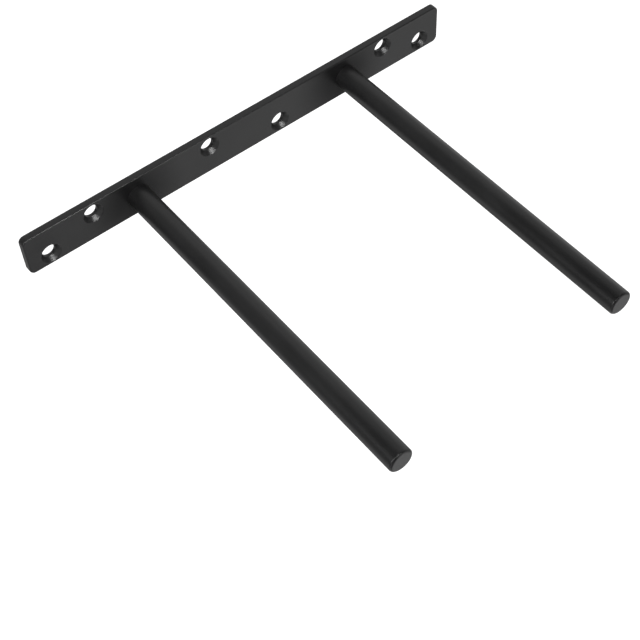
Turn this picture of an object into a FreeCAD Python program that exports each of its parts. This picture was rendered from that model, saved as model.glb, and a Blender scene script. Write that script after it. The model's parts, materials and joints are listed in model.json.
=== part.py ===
import FreeCAD, Part
import os
import Sketcher

# Floating shelf bracket in millimetres: a wall plate with two rods that a hollow or drilled shelf slides onto.
# The plate's wall face lies in the XZ plane, centred on the origin, with +Z up and the rods pointing along -Y.

SIZES = (
    ("plate_length", "244", "along the wall"),
    ("plate_height", "22", "up the wall"),
    ("plate_thickness", "4", "wall face to front face"),
    ("corner_radius", "3", "the four corners, seen from the front"),
    ("front_edge_radius", "0.7", "rounding round the front face"),
    ("back_edge_radius", "0.4", "rounding round the wall face"),
    ("rod_spacing", "123", "between the rods' axes"),
    ("rod_diameter", "12", "bar that carries the shelf"),
    ("rod_length", "187", "front face to free end"),
    ("rod_tip_radius", "1.2", "rounding of the free end"),
    ("tenon_diameter", "9", "turned end of the rod, inside the plate"),
    ("tenon_clearance", "0.1", "gap all round the tenon"),
    ("weld_leg", "1.6", "depth and width of the weld on the wall side"),
    ("outer_hole_inset", "12", "lower screw holes, in from each end of the plate"),
    ("inner_hole_gap", "24", "upper screw holes, out from the nearer rod's axis"),
    ("middle_hole_spacing", "41", "staggered screw holes between the rods"),
    ("hole_offset", "4.6", "screw holes above or below mid-height"),
    ("hole_diameter", "7", "clearance for the screw"),
    ("countersink_diameter", "11", "mouth for the screw's head"),
    ("countersink_angle", "82", "cone for the screw's head, in degrees"),
)

# How far the screw holes stand from the middle of the plate.
OUTER = "sizes.plate_length / 2 - sizes.outer_hole_inset"
INNER = "sizes.rod_spacing / 2 + sizes.inner_hole_gap"
MIDDLE = "sizes.middle_hole_spacing / 2"

# The screw holes from left to right: distance from the middle, left or right of it, and lower or upper row.
SCREW_HOLES = (
    (OUTER, -1, -1),
    (INNER, -1, 1),
    (MIDDLE, -1, 1),
    (MIDDLE, 1, -1),
    (INNER, 1, 1),
    (OUTER, 1, -1),
)

ROD_SIDES = (("left", -1), ("right", 1))
TENON_HOLE = "sizes.tenon_diameter + 2 * sizes.tenon_clearance"
WELD_MOUTH = TENON_HOLE + " + 2 * sizes.weld_leg"
WELD_BEVEL_ANGLE = 90
ORIGIN_POINT = (-1, 1)
START, END, CENTRE = 1, 2, 3

doc = FreeCAD.newDocument("floating_shelf_bracket")


def make_sheet():
    sheet = doc.addObject("Spreadsheet::Sheet", "sizes")
    for row, (alias, value, note) in enumerate(SIZES, start=1):
        sheet.set(f"A{row}", alias)
        sheet.set(f"B{row}", value)
        sheet.set(f"C{row}", note)
        sheet.setAlias(f"B{row}", alias)
    doc.recompute()
    return sheet


def new_body(label):
    body = doc.addObject("PartDesign::Body", label)
    body.Label = label
    return body


def new_sketch(body, name, role, height=None):
    """Starts a sketch on one of the body's origin planes, raised along the plane's normal by an expression."""
    sketch = body.newObject("Sketcher::SketchObject", name)
    plane = next(item for item in body.Origin.OriginFeatures if item.Role == role)
    sketch.AttachmentSupport = (plane, [""])
    sketch.MapMode = "FlatFace"
    if height:
        sketch.setExpression("AttachmentOffset.Base.z", height)
    return sketch


def drive(sketch, name, expression, constraint):
    """Adds a dimension to a sketch and ties it to the sheet."""
    index = sketch.addConstraint(constraint)
    sketch.renameConstraint(index, name)
    sketch.setExpression("Constraints." + name, expression)


def draw_outline(sketch, points):
    """Draws a closed outline of straight lines, level or upright where its points are."""
    count = len(points)
    for index, point in enumerate(points):
        following = points[(index + 1) % count]
        line = Part.LineSegment(FreeCAD.Vector(*point, 0), FreeCAD.Vector(*following, 0))
        sketch.addGeometry(line)
        if point[1] == following[1]:
            sketch.addConstraint(Sketcher.Constraint("Horizontal", index))
        elif point[0] == following[0]:
            sketch.addConstraint(Sketcher.Constraint("Vertical", index))
    for index in range(count):
        sketch.addConstraint(Sketcher.Constraint("Coincident", index, END, (index + 1) % count, START))


def place_circle(sketch, name, across, side, up=None, row=1):
    """Draws a circle to one side of the middle, and above or below it where a height is given."""
    circle = Part.Circle(FreeCAD.Vector(side * 10, row * 5, 0), FreeCAD.Vector(0, 0, 1), 2)
    index = sketch.addGeometry(circle)
    ends = (ORIGIN_POINT, (index, CENTRE))
    near, far = ends if side > 0 else ends[::-1]
    drive(sketch, name + "_across", across, Sketcher.Constraint("DistanceX", *near, *far, 10))
    if up is None:
        sketch.addConstraint(Sketcher.Constraint("Horizontal", *near, *far))
        return index
    low, high = ends if row > 0 else ends[::-1]
    drive(sketch, name + "_up", up, Sketcher.Constraint("DistanceY", *low, *high, 5))
    return index


def size_circles(sketch, name, circles, expression):
    """Gives the first circle a diameter and makes the others equal to it."""
    drive(sketch, name, expression, Sketcher.Constraint("Diameter", circles[0], 4))
    for circle in circles[1:]:
        sketch.addConstraint(Sketcher.Constraint("Equal", circles[0], circle))


def edges_where(shape, test):
    return [f"Edge{index}" for index, edge in enumerate(shape.Edges, start=1) if test(edge)]


def round_edges(body, name, base, radius, test):
    """Rounds the base feature's edges that pass a test."""
    doc.recompute()
    fillet = body.newObject("PartDesign::Fillet", name)
    fillet.Base = (base, edges_where(base.Shape, test))
    fillet.setExpression("Radius", "sizes." + radius)
    return fillet


def lies_at_y(edge, y):
    return abs(edge.BoundBox.YMin - y) < 1e-6 and abs(edge.BoundBox.YMax - y) < 1e-6


def runs_along_y(edge):
    return edge.BoundBox.XLength < 1e-6 and edge.BoundBox.ZLength < 1e-6


def drill(body, name, sketch, diameter, mouth, angle):
    """Drills countersunk holes through the plate at a sketch's circles."""
    doc.recompute()
    hole = body.newObject("PartDesign::Hole", name)
    hole.Profile = sketch
    hole.DepthType = "ThroughAll"
    hole.HoleCutType = "Countersink"
    hole.HoleCutCustomValues = True
    hole.setExpression("Diameter", diameter)
    hole.setExpression("HoleCutDiameter", mouth)
    hole.setExpression("HoleCutCountersinkAngle", angle)
    return hole


def make_plate(sheet):
    body = new_body("back_plate")
    outline = new_sketch(body, "plate_outline", "XZ_Plane")
    draw_outline(outline, ((-10, -5), (10, -5), (10, 5), (-10, 5)))
    outline.addConstraint(Sketcher.Constraint("Symmetric", 0, START, 2, START, *ORIGIN_POINT))
    drive(outline, "length", "sizes.plate_length", Sketcher.Constraint("DistanceX", 0, START, 0, END, 20))
    drive(outline, "height", "sizes.plate_height", Sketcher.Constraint("DistanceY", 1, START, 1, END, 10))
    strip = body.newObject("PartDesign::Pad", "strip")
    strip.Profile = outline
    strip.setExpression("Length", "sizes.plate_thickness")

    front = -sheet.plate_thickness
    corners = round_edges(body, "corners", strip, "corner_radius", runs_along_y)
    front_edge = round_edges(body, "front_edge", corners, "front_edge_radius", lambda edge: lies_at_y(edge, front))
    round_edges(body, "back_edge", front_edge, "back_edge_radius", lambda edge: lies_at_y(edge, 0))

    screws = new_sketch(body, "screw_layout", "XZ_Plane", "sizes.plate_thickness")
    circles = []
    for number, (across, side, row) in enumerate(SCREW_HOLES, start=1):
        circles.append(place_circle(screws, f"screw{number}", across, side, "sizes.hole_offset", row))
    size_circles(screws, "screw_diameter", circles, "sizes.hole_diameter")
    mouth = "sizes.countersink_diameter"
    drill(body, "screw_holes", screws, "sizes.hole_diameter", mouth, "sizes.countersink_angle")

    tenons = new_sketch(body, "tenon_layout", "XZ_Plane")
    circles = [place_circle(tenons, label, "sizes.rod_spacing / 2", side) for label, side in ROD_SIDES]
    size_circles(tenons, "tenon_hole_diameter", circles, TENON_HOLE)
    tenon_holes = drill(body, "tenon_holes", tenons, TENON_HOLE, WELD_MOUTH, str(WELD_BEVEL_ANGLE))
    tenon_holes.Reversed = True
    return body


def turn(body, name, sketch):
    """Turns a half section about the body's Y axis."""
    solid = body.newObject("PartDesign::Revolution", name)
    solid.Profile = sketch
    solid.ReferenceAxis = (sketch, ["V_Axis"])
    solid.Angle = 360
    return solid


def stand_at_rod(body, side):
    body.setExpression("Placement.Base.x", f"{side} * sizes.rod_spacing / 2")


def make_rod(label, side, sheet):
    body = new_body(label + "_rod")
    section = new_sketch(body, label + "_rod_section", "XY_Plane")
    draw_outline(section, ((0, 0), (4, 0), (4, -4), (6, -4), (6, -20), (0, -20)))
    section.addConstraint(Sketcher.Constraint("Coincident", 0, START, *ORIGIN_POINT))
    tenon_radius = Sketcher.Constraint("DistanceX", 0, START, 0, END, 4)
    drive(section, "tenon_radius", "sizes.tenon_diameter / 2", tenon_radius)
    tenon_length = Sketcher.Constraint("DistanceY", 1, END, 1, START, 4)
    drive(section, "tenon_length", "sizes.plate_thickness", tenon_length)
    drive(section, "rod_radius", "sizes.rod_diameter / 2", Sketcher.Constraint("DistanceX", 4, END, 4, START, 6))
    drive(section, "rod_length", "sizes.rod_length", Sketcher.Constraint("DistanceY", 3, END, 3, START, 16))
    bar = turn(body, label + "_bar", section)
    free_end = -sheet.plate_thickness - sheet.rod_length
    round_edges(body, label + "_tip", bar, "rod_tip_radius", lambda edge: lies_at_y(edge, free_end))
    stand_at_rod(body, side)
    return body


def make_weld(label, side):
    body = new_body(label + "_weld")
    section = new_sketch(body, label + "_weld_section", "XY_Plane")
    draw_outline(section, ((4, 0), (7, 0), (5, -2), (4, -2)))
    section.addConstraint(Sketcher.Constraint("PointOnObject", 0, START, -1))
    inner = Sketcher.Constraint("DistanceX", *ORIGIN_POINT, 0, START, 4)
    drive(section, "inner_radius", "sizes.tenon_diameter / 2", inner)
    drive(section, "root_gap", "sizes.tenon_clearance", Sketcher.Constraint("DistanceX", 2, END, 2, START, 1))
    face_width = Sketcher.Constraint("DistanceX", 0, START, 0, END, 3)
    drive(section, "face_width", "sizes.tenon_clearance + sizes.weld_leg", face_width)
    drive(section, "depth", "sizes.weld_leg", Sketcher.Constraint("DistanceY", 3, START, 3, END, 2))
    turn(body, label + "_ring", section)
    stand_at_rod(body, side)
    return body


def check(bodies):
    for item in doc.Objects:
        if "Invalid" in item.State or "Error" in item.State:
            raise RuntimeError(f"{item.Label} failed: {item.State}")
    for body in bodies:
        if body.Shape.isNull() or not body.Shape.isValid():
            raise RuntimeError(f"{body.Label} has no valid shape")


def main():
    sheet = make_sheet()
    bodies = [make_plate(sheet)]
    for label, side in ROD_SIDES:
        bodies.append(make_rod(label, side, sheet))
        bodies.append(make_weld(label, side))
    doc.recompute()
    check(bodies)
    os.makedirs("parts", exist_ok=True)
    for body in bodies:
        body.Shape.exportStep(f"parts/{body.Label}.step")
        print(f"{body.Label}: {body.Shape.Volume:.2f} cubic mm")


main()
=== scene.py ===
import json
import math

import bpy
import bmesh
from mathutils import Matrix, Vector


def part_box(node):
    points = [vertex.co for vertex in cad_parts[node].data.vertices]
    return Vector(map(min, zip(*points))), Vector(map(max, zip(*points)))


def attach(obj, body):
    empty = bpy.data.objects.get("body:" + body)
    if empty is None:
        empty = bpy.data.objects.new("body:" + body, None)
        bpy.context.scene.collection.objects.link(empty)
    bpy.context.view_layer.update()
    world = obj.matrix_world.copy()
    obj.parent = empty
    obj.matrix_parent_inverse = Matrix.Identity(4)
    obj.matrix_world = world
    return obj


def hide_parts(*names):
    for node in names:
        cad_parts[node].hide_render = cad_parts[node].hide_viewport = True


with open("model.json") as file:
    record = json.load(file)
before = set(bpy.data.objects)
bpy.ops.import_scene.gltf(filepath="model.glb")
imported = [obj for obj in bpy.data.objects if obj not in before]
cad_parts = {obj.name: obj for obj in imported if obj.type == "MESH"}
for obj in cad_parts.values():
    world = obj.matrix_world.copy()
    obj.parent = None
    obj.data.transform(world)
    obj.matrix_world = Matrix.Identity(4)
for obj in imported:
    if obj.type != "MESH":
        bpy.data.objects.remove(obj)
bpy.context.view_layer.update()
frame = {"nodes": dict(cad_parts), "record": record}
mm = 0.001
onSurface = 1e-6  # a point this near to a wall counts as on it
seamGap = 0.5e-6  # points merged where a turned shape closes
joinGap = 2e-6  # points merged where walls and faces meet
mounts = {mount["name"]: mount for mount in frame["record"]["mounts"]}
rodFeet = [(mounts[name]["pos_m"][0], mounts[name]["pos_m"][2]) for name in ("left_rod", "right_rod")]
print("frame:", len(frame["nodes"]), "nodes")


# small helpers for node trees
def addNode(tree, kind, values=None, **settings):
    node = tree.nodes.new(kind)
    for name, value in settings.items():
        setattr(node, name, value)
    for socket, value in (values or {}).items():
        plug(tree, node.inputs[socket], value)
    return node


def plug(tree, socket, value):
    if isinstance(value, bpy.types.Node):
        value = value.outputs[0]
    if isinstance(value, bpy.types.NodeSocket):
        tree.links.new(value, socket)
    else:
        socket.default_value = value


def mathNode(tree, operation, a, b=0.0):
    return addNode(tree, "ShaderNodeMath", {0: a, 1: b}, operation=operation)


def plus(tree, a, b):
    return mathNode(tree, "ADD", a, b)


def minus(tree, a, b):
    return mathNode(tree, "SUBTRACT", a, b)


def times(tree, a, b):
    return mathNode(tree, "MULTIPLY", a, b)


def point(tree, x, y, z=0.0):
    return addNode(tree, "ShaderNodeCombineXYZ", {0: x, 1: y, 2: z})


def newShapeTree(name, sizes):
    tree = bpy.data.node_groups.new(name, "GeometryNodeTree")
    tree.interface.new_socket("Places", in_out="INPUT", socket_type="NodeSocketGeometry")
    for size in sizes:
        tree.interface.new_socket(size, in_out="INPUT", socket_type="NodeSocketFloat")
    tree.interface.new_socket("Coat", in_out="INPUT", socket_type="NodeSocketMaterial")
    tree.interface.new_socket("Shape", in_out="OUTPUT", socket_type="NodeSocketGeometry")
    return tree, tree.nodes.new("NodeGroupInput").outputs


# a section line through corners (across, along, softness), each corner rounded by its own softness
def sectionLine(tree, corners, steps):
    index = addNode(tree, "GeometryNodeInputIndex")
    places = addNode(tree, "GeometryNodeIndexSwitch", {"Index": index}, data_type="VECTOR")
    radii = addNode(tree, "GeometryNodeIndexSwitch", {"Index": index}, data_type="FLOAT")
    for _ in corners[2:]:  # a new switch already has two items
        places.index_switch_items.new()
        radii.index_switch_items.new()
    for number, (across, along, softness) in enumerate(corners, start=1):  # input 0 is the index
        plug(tree, places.inputs[number], point(tree, across, times(tree, along, -1.0)))
        plug(tree, radii.inputs[number], softness)
    line = addNode(tree, "GeometryNodeMeshLine", {"Count": len(corners)})
    line = addNode(tree, "GeometryNodeSetPosition", {"Geometry": line, "Position": places})
    line = addNode(tree, "GeometryNodeStoreNamedAttribute",
                   {"Geometry": line, "Name": "soft", "Value": radii}, data_type="FLOAT", domain="POINT")
    curve = addNode(tree, "GeometryNodeMeshToCurve", {"Mesh": line})
    soft = addNode(tree, "GeometryNodeInputNamedAttribute", {"Name": "soft"}, data_type="FLOAT")
    return addNode(tree, "GeometryNodeFilletCurve",
                   {"Curve": curve, "Count": steps, "Radius": soft}, mode="POLY")


# turns a section line once round the axis: carried round a small ring and set back by the ring's radius
def turned(tree, section, facets):
    ring = 5 * mm
    shifted = addNode(tree, "GeometryNodeSetPosition", {"Geometry": section, "Offset": (-ring, 0, 0)})
    path = addNode(tree, "GeometryNodeCurvePrimitiveCircle", {"Resolution": facets, "Radius": ring})
    shape = addNode(tree, "GeometryNodeCurveToMesh", {"Curve": path, "Profile Curve": shifted})
    return addNode(tree, "GeometryNodeMergeByDistance", {"Geometry": shape, "Distance": seamGap})


# every tree ends here: the shape is set upright, its wall face in the XZ plane and its front towards -Y
def endTree(tree, sizes, shape):
    shape = addNode(tree, "GeometryNodeRealizeInstances", {"Geometry": shape})
    shape = addNode(tree, "GeometryNodeMergeByDistance", {"Geometry": shape, "Distance": joinGap})
    shape = addNode(tree, "GeometryNodeTransform", {"Geometry": shape, "Rotation": (math.pi / 2, 0, 0)})
    shape = addNode(tree, "GeometryNodeSetShadeSmooth", {"Geometry": shape})
    shape = addNode(tree, "GeometryNodeSetMaterial", {"Geometry": shape, "Material": sizes["Coat"]})
    addNode(tree, "NodeGroupOutput", {0: shape})


# runs a tree on points at the places (x, z, kind) and keeps the result as a plain mesh
def makePiece(name, tree, places, values, walls):
    mesh = bpy.data.meshes.new(name)
    mesh.from_pydata([(x, z, 0) for x, z, _ in places], [], [])
    kinds = mesh.attributes.new("kind", "INT", "POINT")
    kinds.data.foreach_set("value", [kind for _, _, kind in places])
    piece = bpy.data.objects.new(name, mesh)
    bpy.context.scene.collection.objects.link(piece)
    modifier = piece.modifiers.new(tree.name, "NODES")
    modifier.node_group = tree
    for item in tree.interface.items_tree:
        if item.in_out == "INPUT" and item.name in values:
            modifier[item.identifier] = values[item.name]
    bpy.context.view_layer.update()
    result = bpy.data.meshes.new_from_object(piece.evaluated_get(bpy.context.evaluated_depsgraph_get()))
    piece.modifiers.clear()
    piece.data = result
    for attribute in ("soft", "kind"):
        if attribute in result.attributes:
            result.attributes.remove(result.attributes[attribute])
    outward(result)
    settleNormals(result, walls)
    print(name, "made:", len(result.vertices), "points,", len(result.polygons), "faces")
    return piece


def outward(mesh):
    work = bmesh.new()
    work.from_mesh(mesh)
    bmesh.ops.recalc_face_normals(work, faces=work.faces)
    loose = sum(1 for edge in work.edges if len(edge.link_faces) != 2)
    work.to_mesh(mesh)
    work.free()
    if loose:
        print("open edges left in", mesh.name, loose)


# a point on a flat face or a round wall takes that wall's own direction, so large faces shade clean
def settleNormals(mesh, walls):
    normals = [vertex.normal.copy() for vertex in mesh.vertices]
    for number, vertex in enumerate(mesh.vertices):
        for onWall in walls:
            direction = onWall(vertex.co)
            if direction:
                normals[number] = direction
                break
    mesh.normals_split_custom_set_from_vertices(normals)


# the coat that all pieces share, each piece's own dictionary changes what differs on it
blackCoat = {
    "darkTone": (0.006, 0.006, 0.0062),
    "lightTone": (0.010, 0.010, 0.0102),
    "roughness": (0.35, 0.42),
    "driftSize": 14 * mm,
    "driftShare": 0.6,  # the rest of the change in tone is grain
    "spread": (0.3, 0.7),  # the part of the noise that the tones and the roughness span
    "grainSize": 0.22 * mm,
    "grainStrength": 0.25,
    "grainHeight": 0.02 * mm,
    "peelSize": 0.9 * mm,
    "peelStrength": 0.3,
    "peelHeight": 0.04 * mm,
    "ior": 1.5,
    "gloss": 0.5,
}


# powder coat: near-black resin with soft orange peel, a fine grain and slow changes of gloss
def powderCoat(name, look):
    coat = bpy.data.materials.new(name)
    coat.use_nodes = True
    tree = coat.node_tree
    shader = tree.nodes["Principled BSDF"]
    place = addNode(tree, "ShaderNodeTexCoord").outputs["Object"]
    drift, grain, peel = [
        addNode(tree, "ShaderNodeTexNoise",
                {"Vector": place, "Scale": 1 / look[size], "Detail": detail, "Roughness": fineness})
        for size, detail, fineness in (
            ("driftSize", 3.0, 0.5), ("grainSize", 2.0, 0.5), ("peelSize", 1.0, 0.4))]
    mixed = plus(tree, times(tree, drift, look["driftShare"]), times(tree, grain, 1 - look["driftShare"]))
    low, high = look["spread"]
    tone = addNode(tree, "ShaderNodeValToRGB", {"Fac": mixed})
    ends = tone.color_ramp.elements
    ends[0].position, ends[1].position = low, high
    ends[0].color, ends[1].color = (*look["darkTone"], 1), (*look["lightTone"], 1)
    satin, dull = look["roughness"]
    roughness = addNode(tree, "ShaderNodeMapRange", {
        "Value": mixed, "From Min": low, "From Max": high, "To Min": satin, "To Max": dull})
    fine = addNode(tree, "ShaderNodeBump", {
        "Height": grain, "Strength": look["grainStrength"], "Distance": look["grainHeight"]})
    waves = addNode(tree, "ShaderNodeBump", {
        "Height": peel, "Strength": look["peelStrength"], "Distance": look["peelHeight"], "Normal": fine})
    plug(tree, shader.inputs["Base Color"], tone)
    plug(tree, shader.inputs["Roughness"], roughness)
    plug(tree, shader.inputs["Normal"], waves)
    shader.inputs["IOR"].default_value = look["ior"]
    shader.inputs["Specular IOR Level"].default_value = look["gloss"]
    return coat


# painted shade: the gloss on the strip's front is cut round the foot of each bar, set a little to one side,
# where the bars shade the strip
def paintCornerShade(coat, feet, front, zone):
    tree = coat.node_tree
    shader = tree.nodes["Principled BSDF"]
    place = addNode(tree, "ShaderNodeSeparateXYZ", {0: addNode(tree, "ShaderNodeTexCoord").outputs["Object"]})
    onFace = point(tree, place.outputs["X"], 0.0, place.outputs["Z"])
    nearest = zone["end"]
    for x, z in feet:
        middle = (x + zone["aside"], 0, z)
        away = addNode(tree, "ShaderNodeVectorMath", {0: onFace, 1: middle}, operation="DISTANCE")
        nearest = mathNode(tree, "MINIMUM", away.outputs["Value"], nearest)
    shaded = addNode(tree, "ShaderNodeMapRange", {
        "Value": nearest, "From Min": zone["start"], "From Max": zone["end"],
        "To Min": zone["shaded"], "To Max": 0.0}, interpolation_type="SMOOTHSTEP")
    isFront = addNode(tree, "ShaderNodeMapRange", {
        "Value": place.outputs["Y"], "From Min": front + zone["depth"], "From Max": front,
        "To Min": 0.0, "To Max": 1.0})
    kept = minus(tree, 1.0, times(tree, shaded, isFront))
    gloss = shader.inputs["Specular IOR Level"]
    # the painted shade lowers the specular level, so the strip looks darker near the bars
    plug(tree, gloss, times(tree, kept, gloss.default_value))
    return coat


# the strip that is screwed to the wall
plateSizes = {
    "cornerRadius": 3.0 * mm,
    "frontRounding": 0.7 * mm,
    "backRounding": 0.4 * mm,
    "mouthRadius": 5.5 * mm,
    "sinkAngle": math.radians(82),
    "coatInHoles": 0.12 * mm,  # makes each screw hole a little tighter
    "mouthSoftness": 0.3 * mm,  # coat over the edges of a countersink
    "neckSoftness": 0.1 * mm,
    "boreSoftness": 0.15 * mm,
    "tenonBore": 4.6 * mm,
    "weldRadius": 6.2 * mm,
    "rimSteps": 7,
    "cornerSteps": 14,
    "holeSteps": 4,
    "holeFacets": 72,
    # painted shade round the foot of each bar: where it starts and ends, how much gloss it takes off, how far
    # it is set aside and how deep it reaches on the front
    "cornerShadeZone": {"start": 4 * mm, "end": 32 * mm, "shaded": 0.8, "aside": -3 * mm, "depth": 0.5 * mm},
    "coat": blackCoat,
}
nearlyAll = 0.999  # share of an edge that a rounding may use up


def makePlateTree():
    tree, size = newShapeTree("wallStrip", [
        "Length", "Height", "Thickness", "Corner Radius", "Front Rounding", "Back Rounding",
        "Hole Radius", "Mouth Radius", "Sink Angle", "Mouth Softness", "Neck Softness", "Bore Softness",
        "Tenon Bore", "Weld Radius"])
    thick = size["Thickness"]

    # rim: section of the edge carried round the rounded outline
    section = sectionLine(tree, [
        (times(tree, size["Front Rounding"], -1.0), thick, 0.0),
        (0.0, thick, times(tree, size["Front Rounding"], nearlyAll)),
        (0.0, 0.0, times(tree, size["Back Rounding"], nearlyAll)),
        (times(tree, size["Back Rounding"], -1.0), 0.0, 0.0)], plateSizes["rimSteps"])
    outline = addNode(tree, "GeometryNodeCurvePrimitiveQuadrilateral",
                      {"Width": size["Length"], "Height": size["Height"]})
    outline = addNode(tree, "GeometryNodeFilletCurve", {
        "Curve": outline, "Count": plateSizes["cornerSteps"], "Radius": size["Corner Radius"]}, mode="POLY")
    rim = addNode(tree, "GeometryNodeCurveToMesh", {"Curve": outline, "Profile Curve": section})

    # countersunk screw holes
    slope = mathNode(tree, "TANGENT", times(tree, size["Sink Angle"], 0.5))
    sinkDepth = mathNode(tree, "DIVIDE", minus(tree, size["Mouth Radius"], size["Hole Radius"]), slope)
    hole = sectionLine(tree, [
        (plus(tree, size["Mouth Radius"], times(tree, size["Mouth Softness"], 0.5)), thick, 0.0),
        (size["Mouth Radius"], thick, size["Mouth Softness"]),
        (size["Hole Radius"], minus(tree, thick, sinkDepth), size["Neck Softness"]),
        (size["Hole Radius"], 0.0, times(tree, size["Bore Softness"], nearlyAll)),
        (plus(tree, size["Hole Radius"], size["Bore Softness"]), 0.0, 0.0)], plateSizes["holeSteps"])
    hole = turned(tree, hole, plateSizes["holeFacets"])

    # bores for the rods' tenons, bevelled for the weld on the wall side
    bore = sectionLine(tree, [
        (size["Tenon Bore"], thick, 0.0),
        (size["Tenon Bore"], minus(tree, size["Weld Radius"], size["Tenon Bore"]), 0.0),
        (size["Weld Radius"], 0.0, 0.0)], 1)
    bore = turned(tree, bore, plateSizes["holeFacets"])

    kind = addNode(tree, "GeometryNodeInputNamedAttribute", {"Name": "kind"}, data_type="INT")
    isBore = addNode(tree, "FunctionNodeCompare", {2: kind, 3: 1}, data_type="INT", operation="EQUAL")
    isHole = addNode(tree, "FunctionNodeBooleanMath", {0: isBore}, operation="NOT")
    walls = addNode(tree, "GeometryNodeJoinGeometry")
    tree.links.new(rim.outputs[0], walls.inputs[0])
    for chosen, shape in ((isHole, hole), (isBore, bore)):
        copies = addNode(tree, "GeometryNodeInstanceOnPoints",
                         {"Points": size["Places"], "Selection": chosen, "Instance": shape})
        tree.links.new(copies.outputs[0], walls.inputs[0])
    walls = addNode(tree, "GeometryNodeRealizeInstances", {"Geometry": walls})

    # flat faces: the open edges at the front and at the back are filled
    faceCount = addNode(tree, "GeometryNodeInputMeshEdgeNeighbors")
    isOpen = addNode(tree, "FunctionNodeCompare", {2: faceCount, 3: 1}, data_type="INT", operation="EQUAL")
    height = addNode(tree, "ShaderNodeSeparateXYZ", {0: addNode(tree, "GeometryNodeInputPosition")})
    isFront = addNode(tree, "FunctionNodeCompare", {"A": height.outputs["Z"], "B": times(tree, thick, 0.5)},
                      data_type="FLOAT", operation="GREATER_THAN")
    isBack = addNode(tree, "FunctionNodeBooleanMath", {0: isFront}, operation="NOT")
    whole = addNode(tree, "GeometryNodeJoinGeometry")
    for side, level in ((isFront, thick), (isBack, 0.0)):
        edge = addNode(tree, "FunctionNodeBooleanMath", {0: isOpen, 1: side}, operation="AND")
        loops = addNode(tree, "GeometryNodeMeshToCurve", {"Mesh": walls, "Selection": edge})
        face = addNode(tree, "GeometryNodeFillCurve", {"Curve": loops}, mode="TRIANGLES")
        face = addNode(tree, "GeometryNodeTransform",
                       {"Geometry": face, "Translation": point(tree, 0.0, 0.0, level)})
        tree.links.new(face.outputs[0], whole.inputs[0])
    tree.links.new(walls.outputs[0], whole.inputs[0])
    endTree(tree, size, whole)
    return tree


def makePlate():
    low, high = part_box("back_plate")
    thickness = high.y - low.y
    screwHole, tenonHole = 0, 1
    places = []
    for name in ("outer_screws", "inner_screws"):
        height = mounts[name]["pos_m"][2]
        reach = mounts[name]["dims"]["spacing_x_mm"] * mm / 2
        places += [(-reach, height, screwHole), (reach, height, screwHole)]
    across = mounts["inner_screws"]["pos_m"][2]  # the middle two stand as far off mid-height
    along = math.sqrt((mounts["middle_screws"]["dims"]["pcd_mm"] * mm / 2) ** 2 - across ** 2)
    places += [(-along, across, screwHole), (along, -across, screwHole)]
    places += [(x, z, tenonHole) for x, z in rodFeet]

    def onFront(co):
        if abs(co.y + thickness) < onSurface:
            return Vector((0, -1, 0))

    def onBack(co):
        if abs(co.y) < onSurface:
            return Vector((0, 1, 0))

    lining = plateSizes["coatInHoles"]
    coat = powderCoat("stripPowderCoat", plateSizes["coat"])
    plate = makePiece("wall_strip", makePlateTree(), places, {
        "Length": high.x - low.x,
        "Height": high.z - low.z,
        "Thickness": thickness,
        "Corner Radius": plateSizes["cornerRadius"],
        "Front Rounding": plateSizes["frontRounding"],
        "Back Rounding": plateSizes["backRounding"],
        "Hole Radius": mounts["outer_screws"]["dims"]["hole_r_mm"] * mm - lining,
        "Mouth Radius": plateSizes["mouthRadius"] - lining / math.cos(plateSizes["sinkAngle"] / 2),
        "Sink Angle": plateSizes["sinkAngle"],
        "Mouth Softness": plateSizes["mouthSoftness"],
        "Neck Softness": plateSizes["neckSoftness"],
        "Bore Softness": plateSizes["boreSoftness"],
        "Tenon Bore": plateSizes["tenonBore"],
        "Weld Radius": plateSizes["weldRadius"],
        # the strip's coat carries the painted shade round the bars' feet
        "Coat": paintCornerShade(coat, rodFeet, low.y, plateSizes["cornerShadeZone"]),
    }, [onFront, onBack])
    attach(plate, "root")
    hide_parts("back_plate")


# the two bars that carry the shelf
rodSizes = {
    "tipRounding": 1.2 * mm,
    "tenonRadius": 4.5 * mm,
    "tenonSoftness": 0.2 * mm,
    "steps": 9,
    "facets": 120,
    "coat": {**blackCoat, "driftSize": 18 * mm},
}


def makeRodTree():
    tree, size = newShapeTree("shelfRods", [
        "Reach", "Thickness", "Radius", "Tip Rounding", "Tenon Radius", "Tenon Softness"])
    section = sectionLine(tree, [
        (0.0, 0.0, 0.0),
        (size["Tenon Radius"], 0.0, size["Tenon Softness"]),
        (size["Tenon Radius"], size["Thickness"], 0.0),
        (size["Radius"], size["Thickness"], 0.0),
        (size["Radius"], size["Reach"], size["Tip Rounding"]),
        (0.0, size["Reach"], 0.0)], rodSizes["steps"])
    rod = turned(tree, section, rodSizes["facets"])
    rods = addNode(tree, "GeometryNodeInstanceOnPoints", {"Points": size["Places"], "Instance": rod})
    endTree(tree, size, rods)
    return tree


def makeRods():
    low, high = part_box("left_rod")
    plateLow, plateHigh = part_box("back_plate")
    radius = mounts["left_rod"]["dims"]["r_mm"] * mm

    def onBar(co):
        x, z = min(rodFeet, key=lambda foot: abs(co.x - foot[0]))
        away = Vector((co.x - x, 0, co.z - z))
        if abs(away.length - radius) < onSurface:
            return away.normalized()

    def onTip(co):
        if abs(co.y - low.y) < onSurface:
            return Vector((0, -1, 0))

    rods = makePiece("shelf_rods", makeRodTree(), [(x, z, 0) for x, z in rodFeet], {
        "Reach": high.y - low.y,
        "Thickness": plateHigh.y - plateLow.y,
        "Radius": radius,
        "Tip Rounding": rodSizes["tipRounding"],
        "Tenon Radius": rodSizes["tenonRadius"],
        "Tenon Softness": rodSizes["tenonSoftness"],
        "Coat": powderCoat("rodPowderCoat", rodSizes["coat"]),
    }, [onBar, onTip])
    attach(rods, "root")
    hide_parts("left_rod", "right_rod")


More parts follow.
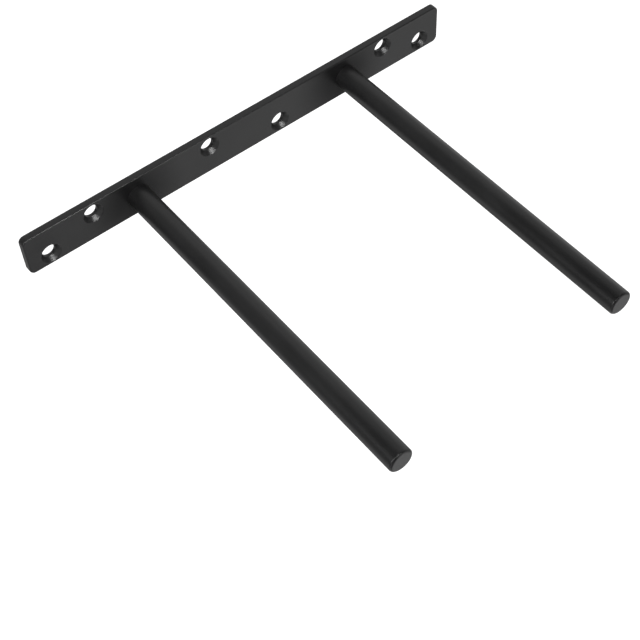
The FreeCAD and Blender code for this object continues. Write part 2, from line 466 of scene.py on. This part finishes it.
# welds on the wall side, ground nearly flush
weldSizes = {
    "depth": 1.5 * mm,
    "unevenness": 0.12 * mm,
    "lumpSize": 2.5 * mm,
    "seed": 7.0,
    "cuts": 3,
    "facets": 96,
    "coat": {
        **blackCoat,
        "darkTone": (0.008, 0.008, 0.0083),
        "lightTone": (0.015, 0.015, 0.0153),
        "roughness": (0.42, 0.55),
        "driftSize": 5 * mm,
        "grainSize": 0.3 * mm,
        "grainStrength": 0.4,
        "grainHeight": 0.03 * mm,
        "peelStrength": 0.35,
        "peelHeight": 0.05 * mm,
    },
}


def makeWeldTree():
    tree, size = newShapeTree("groundWelds", [
        "Inner Radius", "Outer Radius", "Depth", "Unevenness", "Lump Size"])
    middle = times(tree, plus(tree, size["Inner Radius"], size["Outer Radius"]), 0.5)
    section = sectionLine(tree, [
        (size["Inner Radius"], size["Depth"], 0.0),
        (size["Inner Radius"], 0.0, 0.0),
        (middle, 0.0, 0.0),
        (size["Outer Radius"], 0.0, 0.0),
        (minus(tree, size["Outer Radius"], size["Depth"]), size["Depth"], 0.0),
        (size["Inner Radius"], size["Depth"], 0.0)], 1)
    section = addNode(tree, "GeometryNodeSubdivideCurve", {"Curve": section, "Cuts": weldSizes["cuts"]})
    ring = turned(tree, section, weldSizes["facets"])
    rings = addNode(tree, "GeometryNodeInstanceOnPoints", {"Points": size["Places"], "Instance": ring})
    rings = addNode(tree, "GeometryNodeRealizeInstances", {"Geometry": rings})

    # the ground face dips a little here and there
    spot = addNode(tree, "GeometryNodeInputPosition")
    lumps = addNode(tree, "ShaderNodeTexNoise", {
        "Vector": spot, "W": weldSizes["seed"], "Detail": 2.0,
        "Scale": mathNode(tree, "DIVIDE", 1.0, size["Lump Size"])}, noise_dimensions="4D")
    fromWall = addNode(tree, "ShaderNodeSeparateXYZ", {0: spot}).outputs["Z"]
    onFace = addNode(tree, "FunctionNodeCompare", {"A": fromWall, "B": 10 * onSurface},
                     data_type="FLOAT", operation="LESS_THAN")
    dip = point(tree, 0.0, 0.0, times(tree, lumps, size["Unevenness"]))
    rings = addNode(tree, "GeometryNodeSetPosition", {"Geometry": rings, "Selection": onFace, "Offset": dip})
    endTree(tree, size, rings)
    return tree


def makeWelds():
    welds = makePiece("ground_welds", makeWeldTree(), [(x, z, 0) for x, z in rodFeet], {
        "Inner Radius": rodSizes["tenonRadius"],
        "Outer Radius": plateSizes["weldRadius"],
        "Depth": weldSizes["depth"],
        "Unevenness": weldSizes["unevenness"],
        "Lump Size": weldSizes["lumpSize"],
        "Coat": powderCoat("weldPowderCoat", weldSizes["coat"]),
    }, [])
    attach(welds, "root")
    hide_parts("left_weld", "right_weld")


makePlate()
makeRods()
makeWelds()


# pale floor and walls, soft lights and the camera
studio = {
    "floorDepth": 0.9,
    "roomReach": 6.0,
    "roomLight": 0.01,
    "glows": [  # bearing from +X, height above the floor, tightness, strength
        (295, -13, 20, 2.6),  # front
        (297, -46, 8, 0.24),
        (326, -52, 20, 0.29),
        (13, -70, 20, 2.4),  # from below
        (200, -64, 20, 1.15),
        (99, 15, 10, 1.3),  # behind
        (48, -16, 14, 0.28),
        (141, -38, 12, 0.83),  # left
        (217, -15, 20, 1.2),
        (11, 8, 5, 1.05),  # right
        (55, 52, 16, 0.65),  # overhead
    ],
    "lamps": [  # place, size, cone, power
        ((-0.17, -0.364, 0.356), 0.14, 35, 5.7),  # key pair, turned on the strip
        ((-0.01, -0.364, 0.356), 0.14, 35, 4.5),
        ((-0.89, -0.20, 0.41), 0.16, 60, 13.0),  # left
    ],
    "coneBlend": 0.1,
    "cameraPlace": (-0.25020, -0.40361, 0.46496),
    "cameraTurn": (37.3727, 2.0755, -38.4482),
    "cameraLens": 77.0064,
    "cameraSensor": 36,
}


def makeRoom():
    reach, depth = studio["roomReach"], studio["floorDepth"]
    corners = [(-reach, -reach), (reach, -reach), (reach, reach), (-reach, reach)]
    walls = [(0, 4, 5, 1), (1, 5, 6, 2), (2, 6, 7, 3), (3, 7, 4, 0)]
    mesh = bpy.data.meshes.new("pale_room")
    mesh.from_pydata([(x, y, z) for z in (-depth, reach) for x, y in corners], [],
                     [(0, 1, 2, 3), (7, 6, 5, 4)] + walls)  # floor, ceiling, walls
    room = bpy.data.objects.new("pale_room", mesh)
    bpy.context.scene.collection.objects.link(room)
    paper = bpy.data.materials.new("palePaper")
    paper.use_nodes = True
    shader = paper.node_tree.nodes["Principled BSDF"]
    shader.inputs["Base Color"].default_value = (0.8, 0.8, 0.8, 1)
    shader.inputs["Roughness"].default_value = 0.9
    shader.inputs["Emission Color"].default_value = (1, 1, 1, 1)
    shader.inputs["Emission Strength"].default_value = 1.0
    mesh.materials.append(paper)
    # the paper is white to the eye but doesn't wash out the black coat: its bounce is in the glows
    room.visible_diffuse = False
    room.visible_glossy = False
    room.visible_shadow = False


def makeSky():
    world = bpy.data.worlds.new("softRoom")
    bpy.context.scene.world = world
    world.use_nodes = True
    tree = world.node_tree
    background = tree.nodes["Background"]
    direction = addNode(tree, "ShaderNodeTexCoord").outputs["Generated"]
    total = studio["roomLight"]
    for bearing, height, tightness, strength in studio["glows"]:
        turn, rise = math.radians(bearing), math.radians(height)
        toward = (math.cos(rise) * math.cos(turn), math.cos(rise) * math.sin(turn), math.sin(rise))
        nearness = addNode(tree, "ShaderNodeVectorMath", {0: direction, 1: toward}, operation="DOT_PRODUCT")
        falloff = times(tree, minus(tree, nearness.outputs["Value"], 1.0), tightness)
        total = plus(tree, total, times(tree, mathNode(tree, "EXPONENT", falloff), strength))
    plug(tree, background.inputs["Strength"], total)
    background.inputs["Color"].default_value = (1, 1, 1, 1)


def makeLamps():
    for number, (place, size, cone, power) in enumerate(studio["lamps"]):
        light = bpy.data.lights.new("studioLamp" + str(number), "SPOT")
        light.shadow_soft_size = size / 2
        light.spot_size = math.radians(cone)
        light.spot_blend = studio["coneBlend"]
        light.energy = power
        lamp = bpy.data.objects.new(light.name, light)
        lamp.location = place
        lamp.rotation_euler = (-lamp.location).to_track_quat("-Z", "Y").to_euler()
        lamp.visible_camera = False
        bpy.context.scene.collection.objects.link(lamp)


def makeCamera():
    eye = bpy.data.cameras.new("photoCamera")
    eye.lens = studio["cameraLens"]
    eye.sensor_width = studio["cameraSensor"]
    eye.clip_start, eye.clip_end = 0.01, 100
    camera = bpy.data.objects.new("photoCamera", eye)
    camera.location = studio["cameraPlace"]
    camera.rotation_euler = [math.radians(angle) for angle in studio["cameraTurn"]]
    bpy.context.scene.collection.objects.link(camera)
    bpy.context.scene.camera = camera


makeRoom()
makeSky()
makeLamps()
makeCamera()
bpy.context.scene.view_settings.view_transform = "Standard"
print("studio set")
